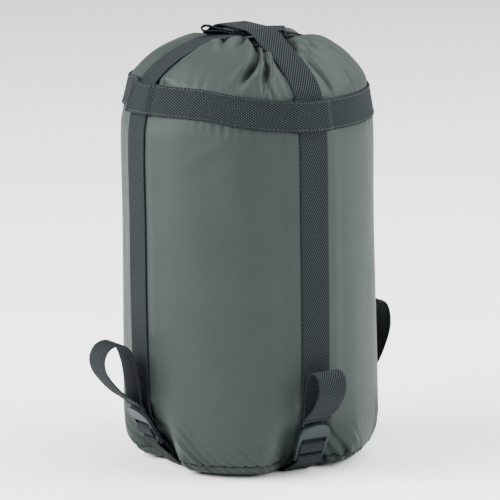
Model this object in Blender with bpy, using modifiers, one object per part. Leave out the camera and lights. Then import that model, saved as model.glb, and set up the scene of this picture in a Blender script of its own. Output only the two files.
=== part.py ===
"""Compression stuff sack, packed full: a nylon sack in a cage of 25 mm webbing.

Millimetres are turned to metres where points enter a mesh. +Z is up, the origin is the middle of
the base on the floor, and -Y is the front. The straps run up the front, right, back and left.
"""

import math

import bmesh
import bpy
from mathutils import Vector

MM = 0.001
GAP = 0.3  # between pieces that touch on the real sack

# Sack body
FABRIC = 0.9
SEGMENTS = 48
PANEL_SPLIT_Z = 296.5  # seam between side panel and mouth panel, under the hoop band
SEAM_Z = 3.4  # underside of the base panel
MOUTH_OFFSET = Vector((7.0, -4.0))  # the gathers close a little off the middle
MOUTH_REACH = 70.0
FILL_CLEARANCE = 0.9

# (radius, height) of the fabric between the straps, base seam to hoop band
SIDE_FULL = [
    (87.0, SEAM_Z), (94.3, 9.9), (98.3, 16.5), (100.8, 23.0), (102.5, 36.0), (102.6, 60.0),
    (101.6, 150.0), (101.1, 200.0), (101.3, 250.0), (100.9, 274.0), (99.5, 284.0),
    (97.5, PANEL_SPLIT_Z - GAP / 2),
]
# the same heights under a strap, which pulls the lower edge in
SIDE_STRAPPED = [
    (69.5, SEAM_Z), (74.0, 9.9), (78.2, 16.5), (82.2, 23.0), (89.4, 36.0), (99.1, 60.0),
    (101.3, 150.0), (101.1, 200.0), (101.3, 250.0), (100.9, 274.0), (99.5, 284.0),
    (97.5, PANEL_SPLIT_Z - GAP / 2),
]
# the dome, hoop band to mouth
DOME_FULL = [
    (97.4, PANEL_SPLIT_Z + GAP / 2), (95.6, 307.6), (91.8, 314.0), (87.0, 319.5), (80.0, 326.2),
    (70.5, 332.5), (56.0, 337.8), (40.0, 338.3), (25.0, 336.2), (14.0, 333.8), (9.6, 333.4),
    (8.6, 335.4), (8.6, 340.0),
]
DOME_STRAPPED = [
    (97.2, PANEL_SPLIT_Z + GAP / 2), (93.4, 307.6), (89.2, 313.2), (83.0, 318.6), (74.0, 324.6),
    (65.3, 328.6), (52.0, 331.8), (40.0, 333.5), (25.0, 334.0), (14.0, 333.5), (9.6, 333.4),
    (8.6, 335.4), (8.6, 340.0),
]
STRAP_FLAT_DEG = 9.0  # half angle pressed flat under a strap
STRAP_FADE_DEG = 26.0  # half angle where the fabric is full again

# Webbing
WEB_WIDTH = 25.0
WEB_THICK = 1.4
WEB_IN_BUCKLE = 22.8  # bunched a little where it runs through a buckle
HOOP_OFF = 1.2  # fabric to the band's middle surface
HOOP_HALF_RISE = 11.3
HOOP_BUMP = 2.7  # lift where the band crosses a strap
HOOP_SEGMENTS = 96
HOOP_ROWS = 6
# the band rides up at the left and sits lower at the front and right: (degrees, middle height)
HOOP_RUN = [
    (-188.0, 302.2), (-165.0, 302.6), (-141.0, 301.8), (-118.0, 295.8), (-100.0, 292.6),
    (-80.0, 291.2), (-42.0, 291.0), (0.0, 291.6), (60.0, 295.2), (120.0, 299.6), (172.0, 302.2),
]

# half path of each top strap, (distance from the middle, height) of its middle line
FRONT_BACK_HALF = [
    (0.0, 350.7), (13.0, 350.7), (23.0, 350.3), (34.0, 346.8), (46.0, 340.6), (66.0, 331.2),
    (75.0, 326.2), (84.0, 320.0), (90.5, 314.2), (94.8, 308.0), (98.4, PANEL_SPLIT_Z + GAP / 2),
]
LEFT_RIGHT_HALF = [
    (0.0, 345.0), (22.0, 344.8), (40.0, 342.2), (57.0, 336.8), (72.0, 329.6), (84.0, 321.0),
    (91.0, 314.2), (95.0, 308.0), (98.4, PANEL_SPLIT_Z + GAP / 2),
]
# a side strap from the hoop band down to where it nears its buckle
SIDE_STRAP = [
    (98.5, PANEL_SPLIT_Z - GAP / 2), (100.6, 284.0), (102.0, 274.0), (102.7, 250.0),
    (102.4, 200.0), (102.7, 150.0), (102.3, 100.0), (101.3, 64.0),
]

# Grab loop: (along, height) of its middle line, a flattened ring between the top straps
GRAB_TURN_DEG = 149.2  # direction of its open end in plan
GRAB_LOWER_Z = 346.7
GRAB_UPPER_Z = 348.4
GRAB_OPEN_END = 35.3
GRAB_SHUT_END = 31.0

# Drawcord
CORD_RADIUS = 1.5
CORD_RING = 11.0
CORD_Z = 336.4
KNOT_RADIUS = 3.2

# Buckles: a plate with two windows; s runs up the plate from the anchor bar, n out of its face
PLATE_THICK = 3.0
PLATE_WIDTH = 28.0
WINDOW_WIDTH = 23.4
ANCHOR_BAR = (-1.1, 1.1)
MIDDLE_BAR = (7.9, 13.9)
TAB = (20.2, 34.5)
TAB_CURL = 1.6
PLATE_BEVEL = 0.8
THREAD_OFF = 1.5 * GAP + WEB_THICK / 2  # bar face to the webbing's middle line
REAR_LAYER = -(PLATE_THICK / 2 + THREAD_OFF)

# One strap end each: direction in plan, anchor bar (radius, height), plate tilt from upright,
# and how far out and up the pull loop reaches
ENDS = {
    "front": {"turn": -90.0, "bar": (88.0, 14.0), "tilt": 26.0, "loop": (23.5, 38.5)},
    "right": {"turn": 0.0, "bar": (89.5, 20.0), "tilt": 29.0, "loop": (20.0, 58.0)},
    "back": {"turn": 90.0, "bar": (89.0, 17.0), "tilt": 28.0, "loop": (26.0, 44.0)},
    "left": {"turn": 180.0, "bar": (90.5, 23.6), "tilt": 32.0, "loop": (31.7, 48.6)},
}
# the pull loop's outline, as shares of its reach out and up
LOOP_SHAPE = [
    (-0.04, 0.12), (0.0, 0.32), (0.08, 0.62), (0.24, 0.88), (0.52, 1.0), (0.82, 0.95),
    (0.98, 0.78), (0.94, 0.57), (0.7, 0.345), (0.4, 0.15), (0.16, 0.04),
]
LOOP_ROOT = (40.0, -1.7)  # (s, n) where the loop's two legs part

# Webbing cross under the base
BASE_RUN_Z = WEB_THICK / 2
BASE_CORNER = 70.0
BASE_OVER_Z = BASE_RUN_Z + WEB_THICK + GAP
ANCHOR_WRAP = 2.3 + WEB_THICK / 2


def clear_scene():
    for obj in list(bpy.data.objects):
        bpy.data.objects.remove(obj, do_unlink=True)


def new_collection(name):
    collection = bpy.data.collections.new(name)
    bpy.context.scene.collection.children.link(collection)
    return collection


def make_material(name, colour, roughness):
    material = bpy.data.materials.new(name)
    material.use_nodes = True
    shader = material.node_tree.nodes["Principled BSDF"]
    shader.inputs["Base Color"].default_value = (*colour, 1.0)
    shader.inputs["Roughness"].default_value = roughness
    shader.inputs["Metallic"].default_value = 0.0
    return material


def add_object(name, mesh, material, parent=None):
    obj = bpy.data.objects.new(name, mesh)
    mesh.materials.append(material)
    mesh.shade_smooth()
    mesh.set_sharp_from_angle(angle=math.radians(35))
    SACK.objects.link(obj)
    obj.parent = parent
    return obj


def add_empty(name, parent=None):
    empty = bpy.data.objects.new(name, None)
    empty.empty_display_size = 0.02
    SACK.objects.link(empty)
    empty.parent = parent
    return empty


def mesh_of(name, bm, turn_out=True):
    if turn_out:
        bmesh.ops.recalc_face_normals(bm, faces=bm.faces)
    mesh = bpy.data.meshes.new(name)
    bm.to_mesh(mesh)
    bm.free()
    return mesh


def thicken(obj, thickness, offset):
    solid = obj.modifiers.new("thickness", "SOLIDIFY")
    solid.thickness = thickness * MM
    solid.offset = offset
    solid.use_even_offset = True
    solid.use_rim = True
    return solid


def smoothstep(value):
    value = min(max(value, 0.0), 1.0)
    return value * value * (3 - 2 * value)


def catmull(points, steps):
    """A smooth curve through the points, as `steps` pieces between each two."""
    padded = [points[0] * 2 - points[1], *points, points[-1] * 2 - points[-2]]
    curve = []
    for before, start, end, after in zip(padded, padded[1:], padded[2:], padded[3:]):
        for k in range(steps):
            t = k / steps
            curve.append(
                0.5
                * (
                    2 * start
                    + (end - before) * t
                    + (2 * before - 5 * start + 4 * end - after) * t**2
                    + (3 * start - before - 3 * end + after) * t**3
                )
            )
    curve.append(points[-1])
    return curve


def arc(centre, radius, start_deg, end_deg, steps):
    angles = [math.radians(start_deg + (end_deg - start_deg) * k / steps) for k in range(steps + 1)]
    return [Vector((centre[0] + radius * math.cos(a), centre[1] + radius * math.sin(a))) for a in angles]


def vectors(points):
    return [Vector(p) for p in points]


# ---- fabric ----


def strap_share(angle):
    """1 under a strap, 0 where the fabric is full."""
    quarter = math.pi / 2
    off = abs((angle + quarter / 2) % quarter - quarter / 2)
    span = math.radians(STRAP_FADE_DEG - STRAP_FLAT_DEG)
    return 1.0 - smoothstep((off - math.radians(STRAP_FLAT_DEG)) / span)


def inset(profile, distance):
    """The profile moved inward by a distance, square to itself."""
    moved = []
    for k, (radius, height) in enumerate(profile):
        before = Vector(profile[max(k - 1, 0)])
        after = Vector(profile[min(k + 1, len(profile) - 1)])
        along = (after - before).normalized()
        moved.append((radius - along.y * distance, height + along.x * distance))
    return moved


def ring(full, strapped):
    points = []
    for k in range(SEGMENTS):
        angle = 2 * math.pi * k / SEGMENTS
        share = strap_share(angle)
        radius = full[0] + (strapped[0] - full[0]) * share
        height = full[1] + (strapped[1] - full[1]) * share
        shift = max(0.0, 1 - (radius / MOUTH_REACH) ** 2) if height > PANEL_SPLIT_Z else 0.0
        plan = Vector((math.cos(angle), math.sin(angle))) * radius + MOUTH_OFFSET * shift
        points.append(Vector((plan.x, plan.y, height)) * MM)
    return points


def loft(name, rings, closed_ends):
    """Skins the rings in order; closed_ends adds a fan at both ends."""
    bm = bmesh.new()
    rows = [[bm.verts.new(point) for point in points] for points in rings]
    for low, high in zip(rows, rows[1:]):
        for k in range(SEGMENTS):
            after = (k + 1) % SEGMENTS
            bm.faces.new((low[k], low[after], high[after], high[k]))
    if closed_ends:
        for row in (rows[0], rows[-1]):
            centre = sum((v.co for v in row), Vector()) / SEGMENTS
            hub = bm.verts.new(centre)
            for k in range(SEGMENTS):
                bm.faces.new((row[k], row[(k + 1) % SEGMENTS], hub))
    return mesh_of(name, bm)


def fabric_shell(name, full, strapped, parent=None):
    mesh = loft(name, [ring(*pair) for pair in zip(full, strapped)], False)
    obj = add_object(name, mesh, NYLON, parent)
    thicken(obj, FABRIC, -1.0)
    return obj


def base_panel():
    edge = 1.6  # inside the side panel's lower edge
    full = (SIDE_FULL[0][0] - edge, SEAM_Z)
    strapped = (SIDE_STRAPPED[0][0] - edge, SEAM_Z)
    raised = [(radius, height + FABRIC) for radius, height in (full, strapped)]
    mesh = loft("base_panel", [ring(full, strapped), ring(*raised)], True)
    return add_object("base_panel", mesh, NYLON)


def packed_contents():
    depth = FABRIC + FILL_CLEARANCE
    floor_z = SEAM_Z + FABRIC + GAP
    full = inset(SIDE_FULL, depth)[1:-1] + inset(DOME_FULL[:10], depth)[1:]
    strapped = inset(SIDE_STRAPPED, depth)[1:-1] + inset(DOME_STRAPPED[:10], depth)[1:]
    full.insert(0, (SIDE_FULL[0][0] - 2.8, floor_z))
    strapped.insert(0, (SIDE_STRAPPED[0][0] - 2.8, floor_z))
    mesh = loft("packed_contents", [ring(*pair) for pair in zip(full, strapped)], True)
    return add_object("packed_contents", mesh, FILL)


# ---- webbing ----


def strip_mesh(name, rows, closed=False):
    """A band of quads; each row is the band's points from edge to edge."""
    bm = bmesh.new()
    lines = [[bm.verts.new(Vector(point) * MM) for point in row] for row in rows]
    last = len(lines) if closed else len(lines) - 1
    for k in range(last):
        here, after = lines[k], lines[(k + 1) % len(lines)]
        for j in range(len(here) - 1):
            bm.faces.new((here[j], after[j], after[j + 1], here[j + 1]))
    return mesh_of(name, bm)


def interpolate(knots, x):
    """The value at x on straight lines between (x, value) knots in rising order."""
    for (before, low), (after, high) in zip(knots, knots[1:]):
        if x <= after:
            return low + (high - low) * (x - before) / (after - before)
    return knots[-1][1]


def webbing(name, path, parent, width=WEB_WIDTH, end_width=None):
    """A strap along a path in its frame's XZ plane, its width along Y."""
    rows = []
    for point in path:
        here = width if end_width is None else end_width(point.y)
        rows.append([(point.x, -here / 2, point.y), (point.x, here / 2, point.y)])
    obj = add_object(name, strip_mesh(name, rows), WEBBING, parent)
    thicken(obj, WEB_THICK, 0.0)
    return obj


def hoop_band(parent):
    wall = [(height, radius) for radius, height in SIDE_FULL[8:-1] + DOME_FULL[:5]]
    rows = []
    for k in range(HOOP_SEGMENTS):
        degrees = 360 * k / HOOP_SEGMENTS - 180
        angle = math.radians(degrees)
        quarter = math.pi / 2
        off = math.degrees(abs((angle + quarter / 2) % quarter - quarter / 2))
        lift = HOOP_OFF + HOOP_BUMP * (1 - smoothstep((off - 7.6) / 4.0))
        middle = interpolate(HOOP_RUN, degrees)
        row = []
        for j in range(HOOP_ROWS + 1):
            height = middle + HOOP_HALF_RISE * (2 * j / HOOP_ROWS - 1)
            radius = interpolate(wall, height) + lift
            row.append((radius * math.cos(angle), radius * math.sin(angle), height))
        rows.append(row)
    obj = add_object("hoop_band", strip_mesh("hoop_band", rows, closed=True), WEBBING, parent)
    thicken(obj, WEB_THICK, 0.0)
    return obj


def top_strap(name, half, turn, parent):
    right = vectors(half)
    left = [Vector((-p.x, p.y)) for p in reversed(right[1:])]
    frame = add_empty(name + "_frame", parent)
    frame.rotation_euler = (0, 0, math.radians(turn))
    return webbing(name, catmull(left + right, 2), frame)


def grab_loop(parent):
    """A ring of webbing pressed between the top straps, open at one end and folded at the other."""
    fold = (GRAB_UPPER_Z - GRAB_LOWER_Z) / 2
    fold_z = (GRAB_UPPER_Z + GRAB_LOWER_Z) / 2
    open_end = [
        (10.0, GRAB_UPPER_Z), (18.0, GRAB_UPPER_Z), (23.5, 349.0), (28.5, 350.8), (32.6, 351.4),
        (GRAB_OPEN_END, 349.7), (34.4, 347.6), (30.0, GRAB_LOWER_Z), (16.0, GRAB_LOWER_Z),
        (0.0, GRAB_LOWER_Z),
    ]
    shut_end = arc((fold - GRAB_SHUT_END, fold_z), fold, 270, 90, 6)
    path = catmull(vectors(open_end), 3) + shut_end
    across = WEB_WIDTH / 2
    rows = [[(p.x, -across, p.y), (p.x, across, p.y)] for p in path]
    frame = add_empty("grab_loop_frame", parent)
    frame.rotation_euler = (0, 0, math.radians(GRAB_TURN_DEG))
    mesh = strip_mesh("grab_loop", rows, closed=True)
    obj = add_object("grab_loop", mesh, WEBBING, frame)
    thicken(obj, WEB_THICK, 0.0)
    return obj


# ---- strap ends ----


class PlateFrame:
    """Turns a buckle's (s, n) to the strap frame's (radius, height), and back."""

    def __init__(self, end):
        tilt = math.radians(end["tilt"])
        self.bar = Vector(end["bar"])
        self.along = Vector((math.sin(tilt), math.cos(tilt)))
        self.out = Vector((math.cos(tilt), -math.sin(tilt)))

    def to_strap(self, s, n):
        return self.bar + self.along * s + self.out * n

    def to_plate(self, point):
        """(n, s), which are the hinge frame's X and Z."""
        off = point - self.bar
        return Vector((off.dot(self.out), off.dot(self.along)))


def side_strap(name, frame, plate):
    near_buckle = [(25.0, -4.9), (17.0, -4.75), (14.6, -4.45), (12.6, -3.6), (11.2, -2.8)]
    points = vectors(SIDE_STRAP) + [plate.to_strap(s, n) for s, n in near_buckle]
    points.append(plate.to_strap(MIDDLE_BAR[0] + 2.3, REAR_LAYER))
    return webbing("side_strap_" + name, catmull(points, 2), frame, end_width=narrow_to_buckle)


def narrow_to_buckle(height):
    """Full width down the side, bunched where the strap goes behind the buckle."""
    share = smoothstep((height - 30.0) / 25.0)
    return WEB_IN_BUCKLE + (WEB_WIDTH - WEB_IN_BUCKLE) * share


def threaded_webbing(name, hinge):
    """The strap's turn through the buckle: up the lower window, over the middle bar, and back."""
    corner = 0.8
    radius = corner + THREAD_OFF
    low, high = MIDDLE_BAR[0] + corner, MIDDLE_BAR[1] - corner
    edge = PLATE_THICK / 2 - corner
    turned = [Vector((low + 1.2, REAR_LAYER))]
    turned += arc((low, -edge), radius, 270, 180, 4)
    turned += arc((low, edge), radius, 180, 90, 4)
    turned += arc((high, edge), radius, 90, 0, 4)
    turned += arc((high + 2 * radius, -edge), radius, 180, 270, 4)
    turned.append(Vector((23.0, REAR_LAYER)))
    path = [Vector((p.y, p.x)) for p in turned]
    return webbing("threaded_webbing_" + name, path, hinge, width=WEB_IN_BUCKLE)


def pull_loop(name, hinge, end, plate):
    root = plate.to_strap(*LOOP_ROOT)
    out, up = end["loop"]
    tail = [(REAR_LAYER, 23.0 + GAP), (REAR_LAYER, 29.0), (-2.7, 35.0), (-2.9, 39.0)]
    loop = [plate.to_plate(root + Vector((u * out, v * up))) for u, v in LOOP_SHAPE]
    flap = [(-0.75, 38.8), (-0.85, 35.6)]
    path = catmull(vectors(tail) + loop + vectors(flap), 2)

    def width(s):
        return WEB_IN_BUCKLE + (WEB_WIDTH - WEB_IN_BUCKLE) * smoothstep((s - 28.0) / 10.0)

    return webbing("pull_loop_" + name, path, hinge, end_width=width)


def rounded_outline(points, radii, steps=6):
    """A closed outline with its corners rounded."""
    outline = []
    count = len(points)
    for k, radius in enumerate(radii):
        corner = Vector(points[k])
        back = (Vector(points[k - 1]) - corner).normalized()
        ahead = (Vector(points[(k + 1) % count]) - corner).normalized()
        half = back.angle(ahead) / 2
        reach = radius / math.tan(half)
        centre = corner + (back + ahead).normalized() * (radius / math.sin(half))
        start = corner + back * reach - centre
        turn = start.angle_signed(corner + ahead * reach - centre)
        for step in range(steps + 1):
            angle = -turn * step / steps
            spun = Vector((
                start.x * math.cos(angle) - start.y * math.sin(angle),
                start.x * math.sin(angle) + start.y * math.cos(angle),
            ))
            outline.append(centre + spun)
    return outline


def buckle(name, hinge):
    """A ladder lock: anchor bar, middle bar, and a lifting tab with a round end."""
    half = PLATE_WIDTH / 2
    foot = 12.9
    corners = [(-foot, ANCHOR_BAR[0]), (foot, ANCHOR_BAR[0]), (half, 12.0), (half, TAB[0] + 2),
               (half - 1.4, TAB[1]), (1.4 - half, TAB[1]), (-half, TAB[0] + 2), (-half, 12.0)]
    outline = rounded_outline(corners, [1.2, 1.2, 8.0, 3.0, 13.4, 13.4, 3.0, 8.0], 9)
    curve = bpy.data.curves.new("buckle_outline", "CURVE")
    curve.dimensions = "2D"
    curve.fill_mode = "BOTH"
    curve.extrude = PLATE_THICK / 2 * MM
    side = WINDOW_WIDTH / 2
    windows = [(ANCHOR_BAR[1], MIDDLE_BAR[0]), (MIDDLE_BAR[1], TAB[0])]
    holes = [
        rounded_outline([(-side, low), (side, low), (side, high), (-side, high)], [0.5] * 4, 2)
        for low, high in windows
    ]
    for points in (outline, *holes):
        spline = curve.splines.new("POLY")
        spline.points.add(len(points) - 1)
        for spot, point in zip(spline.points, points):
            spot.co = (point.x * MM, point.y * MM, 0, 1)
        spline.use_cyclic_u = True
    shape = bpy.data.objects.new("buckle_shape", curve)
    SACK.objects.link(shape)
    bpy.context.view_layer.update()
    evaluated = shape.evaluated_get(bpy.context.evaluated_depsgraph_get())
    mesh = bpy.data.meshes.new_from_object(evaluated)
    bpy.data.objects.remove(shape, do_unlink=True)
    bm = bmesh.new()
    bm.from_mesh(mesh)
    bpy.data.meshes.remove(mesh)
    bmesh.ops.remove_doubles(bm, verts=bm.verts, dist=1e-6)
    for vert in bm.verts:
        across, along, depth = vert.co
        lift = max(0.0, (along / MM - TAB[0]) / (TAB[1] - TAB[0]))
        vert.co = (depth + TAB_CURL * MM * lift**2, across, along)
    mesh = mesh_of("buckle_" + name, bm, turn_out=False)
    obj = add_object("buckle_" + name, mesh, PLASTIC, hinge)
    bevel = obj.modifiers.new("rounded edges", "BEVEL")
    bevel.width = PLATE_BEVEL * MM
    bevel.segments = 2
    bevel.limit_method = "ANGLE"
    bevel.angle_limit = math.radians(60)
    return obj


def anchor_path(end):
    """Under the base edge, up to the anchor bar, round it, and back down to the stitching."""
    bar = Vector(end["bar"])
    corner = Vector((BASE_CORNER, BASE_RUN_Z + 0.3))
    along = (bar - corner).normalized()
    below = Vector((along.y, -along.x))
    facing = math.degrees(math.atan2(below.y, below.x))
    wrap = arc(bar, ANCHOR_WRAP, facing, facing + 180, 10)
    stitched = corner + (bar - corner) * 0.42 - below * 1.8
    return [corner, corner + along * 3.0 + below * 0.4, *wrap, stitched]


def base_strap(name, first, second, turn, over):
    """One strap under the base, each end wrapped round a buckle's anchor bar."""
    near = anchor_path(ENDS[first])
    far = [Vector((-p.x, p.y)) for p in anchor_path(ENDS[second])]
    middle_z = BASE_OVER_Z if over else BASE_RUN_Z
    middle = [Vector((x, z)) for x, z in (
        (-62.0, BASE_RUN_Z), (-26.0, BASE_RUN_Z), (-16.0, middle_z), (0.0, middle_z),
        (16.0, middle_z), (26.0, BASE_RUN_Z), (62.0, BASE_RUN_Z),
    )]
    frame = add_empty(name + "_frame")
    frame.rotation_euler = (0, 0, math.radians(turn))
    path = list(reversed(far)) + middle + near

    def width(height):
        share = smoothstep((height - 2.0) / 8.0)
        return WEB_WIDTH + (WEB_IN_BUCKLE - WEB_WIDTH) * share

    return webbing(name, path, frame, end_width=width)


# ---- drawcord ----


def drawcord(parent):
    """The cord drawn tight round the gathered mouth, its two ends meeting in a knot."""
    gap_deg, knot_deg = 42.0, 150.0
    points = arc((0, 0), CORD_RING, knot_deg + gap_deg / 2, knot_deg + 360 - gap_deg / 2, 28)
    curve = bpy.data.curves.new("drawcord", "CURVE")
    curve.dimensions = "3D"
    curve.bevel_depth = CORD_RADIUS * MM
    curve.bevel_resolution = 2
    curve.use_fill_caps = True
    spline = curve.splines.new("POLY")
    spline.points.add(len(points) - 1)
    for spot, point in zip(spline.points, points):
        spot.co = (point.x * MM, point.y * MM, 0, 1)
    curve.materials.append(CORD)
    cord = bpy.data.objects.new("drawcord", curve)
    SACK.objects.link(cord)
    cord.parent = parent
    cord.location = (MOUTH_OFFSET.x * MM, MOUTH_OFFSET.y * MM, CORD_Z * MM)

    bm = bmesh.new()
    bmesh.ops.create_uvsphere(bm, u_segments=16, v_segments=8, radius=KNOT_RADIUS * MM)
    for vert in bm.verts:
        vert.co.z *= 0.68
    knot = add_object("drawcord_knot", mesh_of("drawcord_knot", bm), CORD, parent)
    out = CORD_RING + 1.8
    knot_angle = math.radians(knot_deg)
    knot.location = (
        (MOUTH_OFFSET.x + out * math.cos(knot_angle)) * MM,
        (MOUTH_OFFSET.y + out * math.sin(knot_angle)) * MM,
        CORD_Z * MM,
    )


clear_scene()
SACK = new_collection("stuff_sack")
NYLON = make_material("nylon", (0.15, 0.2, 0.18), 0.5)
FILL = make_material("packed_fill", (0.45, 0.45, 0.42), 0.9)
WEBBING = make_material("webbing", (0.05, 0.055, 0.06), 0.8)
PLASTIC = make_material("buckle_plastic", (0.1, 0.12, 0.14), 0.4)
CORD = make_material("drawcord", (0.04, 0.045, 0.045), 0.8)

base_panel()
packed_contents()
fabric_shell("side_panel", SIDE_FULL, SIDE_STRAPPED)
base_strap("base_strap_front_back", "front", "back", -90.0, over=False)
base_strap("base_strap_left_right", "right", "left", 0.0, over=True)

CAGE = add_empty("cage")
fabric_shell("mouth_panel", DOME_FULL, DOME_STRAPPED, CAGE)
hoop_band(CAGE)
top_strap("top_strap_front_back", FRONT_BACK_HALF, -90.0, CAGE)
top_strap("top_strap_left_right", LEFT_RIGHT_HALF, 0.0, CAGE)
grab_loop(CAGE)
drawcord(CAGE)

for side, settings in ENDS.items():
    strap_frame = add_empty("strap_frame_" + side)
    strap_frame.rotation_euler = (0, 0, math.radians(settings["turn"]))
    plate_frame = PlateFrame(settings)
    side_strap(side, strap_frame, plate_frame)
    anchor_hinge = add_empty("hinge_" + side, strap_frame)
    anchor_hinge.location = (settings["bar"][0] * MM, 0, settings["bar"][1] * MM)
    anchor_hinge.rotation_euler = (0, math.radians(settings["tilt"]), 0)
    buckle(side, anchor_hinge)
    threaded_webbing(side, anchor_hinge)
    pull_loop(side, anchor_hinge, settings, plate_frame)
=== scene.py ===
"""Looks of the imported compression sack: nylon skins, webbing cage, ladder locks and pull loops.

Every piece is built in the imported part's frame. Lengths in the code are millimetres and become
metres where points enter a mesh. +Z is up, -Y is the front.
"""

import math

import bmesh
import bpy
import numpy as np
from mathutils import Matrix, Vector


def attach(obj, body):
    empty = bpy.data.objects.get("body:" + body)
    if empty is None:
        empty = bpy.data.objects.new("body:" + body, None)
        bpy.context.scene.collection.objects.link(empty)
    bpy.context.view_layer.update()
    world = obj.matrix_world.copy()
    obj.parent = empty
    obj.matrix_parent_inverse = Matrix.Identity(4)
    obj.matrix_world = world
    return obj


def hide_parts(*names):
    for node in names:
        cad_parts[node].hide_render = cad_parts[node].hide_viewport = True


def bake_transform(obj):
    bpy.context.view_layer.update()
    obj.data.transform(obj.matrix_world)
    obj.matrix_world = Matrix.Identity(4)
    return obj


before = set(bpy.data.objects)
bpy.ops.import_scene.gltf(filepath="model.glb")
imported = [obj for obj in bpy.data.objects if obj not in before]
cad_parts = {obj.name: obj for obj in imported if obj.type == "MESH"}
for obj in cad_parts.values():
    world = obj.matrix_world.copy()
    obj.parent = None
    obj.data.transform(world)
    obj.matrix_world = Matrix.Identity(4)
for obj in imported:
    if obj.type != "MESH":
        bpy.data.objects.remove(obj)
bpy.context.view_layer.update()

MM = 0.001
SEED = 11
TAU = 2 * math.pi

# ---- sizes shared with the part ----

PANEL_SPLIT_Z = 296.5
SEAM_Z = 3.4
MOUTH_OFFSET = np.array([7.0, -4.0])
MOUTH_REACH = 70.0
SIDE_FULL = [
    (87.0, SEAM_Z), (94.3, 9.9), (98.3, 16.5), (100.8, 23.0), (102.5, 36.0), (102.6, 60.0),
    (101.6, 150.0), (101.1, 200.0), (101.3, 250.0), (100.9, 274.0), (99.5, 284.0), (97.5, 296.5),
]
SIDE_STRAPPED = [
    (69.5, SEAM_Z), (74.0, 9.9), (78.2, 16.5), (82.2, 23.0), (89.4, 36.0), (99.1, 60.0),
    (101.3, 150.0), *SIDE_FULL[7:],
]
DOME_FULL = [
    (97.4, 296.6), (95.6, 307.6), (91.8, 314.0), (87.0, 319.5), (80.0, 326.2), (70.5, 332.5),
    (56.0, 337.8), (40.0, 338.3), (25.0, 336.2), (14.0, 333.8), (9.6, 333.4), (8.6, 335.4),
    (8.6, 340.0),
]
DOME_STRAPPED = [
    (97.2, 296.6), (93.4, 307.6), (89.2, 313.2), (83.0, 318.6), (74.0, 324.6), (65.3, 328.6),
    (52.0, 331.8), (40.0, 333.5), (25.0, 334.0), (14.0, 333.5), *DOME_FULL[10:],
]
STRAP_FLAT_DEG = 9.0
STRAP_FADE_DEG = 26.0

WEB_WIDTH = 25.0
WEB_THICK = 1.4
WEB_IN_BUCKLE = 22.8
FRONT_BACK_HALF = [
    (0.0, 350.7), (13.0, 350.7), (23.0, 350.3), (34.0, 346.8), (46.0, 340.6), (66.0, 331.2),
    (75.0, 326.2), (84.0, 320.0), (90.5, 314.2), (94.8, 308.0), (98.4, 296.65),
]
LEFT_RIGHT_HALF = [
    (0.0, 345.0), (22.0, 344.8), (40.0, 342.2), (57.0, 336.8), (72.0, 329.6), (84.0, 321.0),
    (91.0, 314.2), (95.0, 308.0), (98.4, 296.65),
]
SIDE_STRAP = [
    (98.5, 296.35), (100.6, 284.0), (102.0, 274.0), (102.7, 250.0), (102.4, 200.0),
    (102.7, 150.0), (102.3, 100.0), (101.3, 64.0),
]
PLATE_THICK = 3.0
MIDDLE_BAR = (7.9, 13.9)
THREAD_OFF = 0.45 + WEB_THICK / 2
REAR_LAYER = -(PLATE_THICK / 2 + THREAD_OFF)
ENDS = {
    "front": {"turn": -90.0, "bar": (88.0, 14.0), "tilt": 26.0, "loop": (23.5, 38.5)},
    "right": {"turn": 0.0, "bar": (89.5, 20.0), "tilt": 29.0, "loop": (20.0, 58.0)},
    "back": {"turn": 90.0, "bar": (89.0, 17.0), "tilt": 28.0, "loop": (26.0, 44.0)},
    "left": {"turn": 180.0, "bar": (90.5, 23.6), "tilt": 32.0, "loop": (31.7, 48.6)},
}
LOOP_SHAPE = [
    (-0.04, 0.12), (0.0, 0.32), (0.08, 0.62), (0.24, 0.88), (0.52, 1.0), (0.82, 0.95),
    (0.98, 0.78), (0.94, 0.57), (0.7, 0.345), (0.4, 0.15), (0.16, 0.04),
]
LOOP_ROOT = (40.0, -1.7)
BASE_RUN_Z = WEB_THICK / 2
BASE_CORNER = 70.0
BASE_OVER_Z = BASE_RUN_Z + WEB_THICK + 0.3
ANCHOR_WRAP = 2.3 + WEB_THICK / 2
CORD_RING = 11.0
CORD_RADIUS = 1.5
CORD_Z = 336.4

# ---- sizes of the looks ----

SIDE_SHAPE = (SIDE_FULL, SIDE_STRAPPED)
DOME_SHAPE = (DOME_FULL, DOME_STRAPPED)
COLUMNS = 400
FINE_STEP = 1.0  # spacing of the rows of a skin where it is finely gathered
SIDE_ROWS = (3.4, 42.0)  # spacing of the side skin's rows, and the finely gathered length
DOME_ROWS = (1.25, 0.0)
CIRCLE = 101.5  # radius at which an angle is turned to a distance round the sack
CLOTH_THICK = 0.5
HEM_SEAM_Z = 10.0  # height of the stitched seam above the gathered hem
STRAP_CLEARANCE = 0.25
STRAP_HALF_ANGLE = 0.135  # half of the flat facet that a strap presses in the wall, in radians
BASE_RIM_FULL = 86.2
BASE_RIM_STRAPPED = 68.7
BASE_Z = 3.6
SCALLOP = 0.11  # how far the webbing's woven edge goes in and out

# creases in the side panel: its two ends as (distance round, height), width, depth
SIDE_CREASES = [
    ((-272.0, 250.0), (-219.0, 281.0), 5.0, 0.7),
    ((-262.0, 244.0), (-226.0, 262.0), 7.0, -0.45),
    ((-290.0, 34.0), (-268.0, 12.0), 3.0, -1.3),
    ((-282.0, 40.0), (-258.0, 14.0), 3.4, 0.8),
    ((-128.0, 22.0), (-112.0, 8.0), 2.6, -1.4),
    ((-118.0, 27.0), (-100.0, 10.0), 3.0, 0.9),
    ((-106.0, 20.0), (-92.0, 7.0), 2.2, -1.1),
]

NECK_FOLDS = 30
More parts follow.
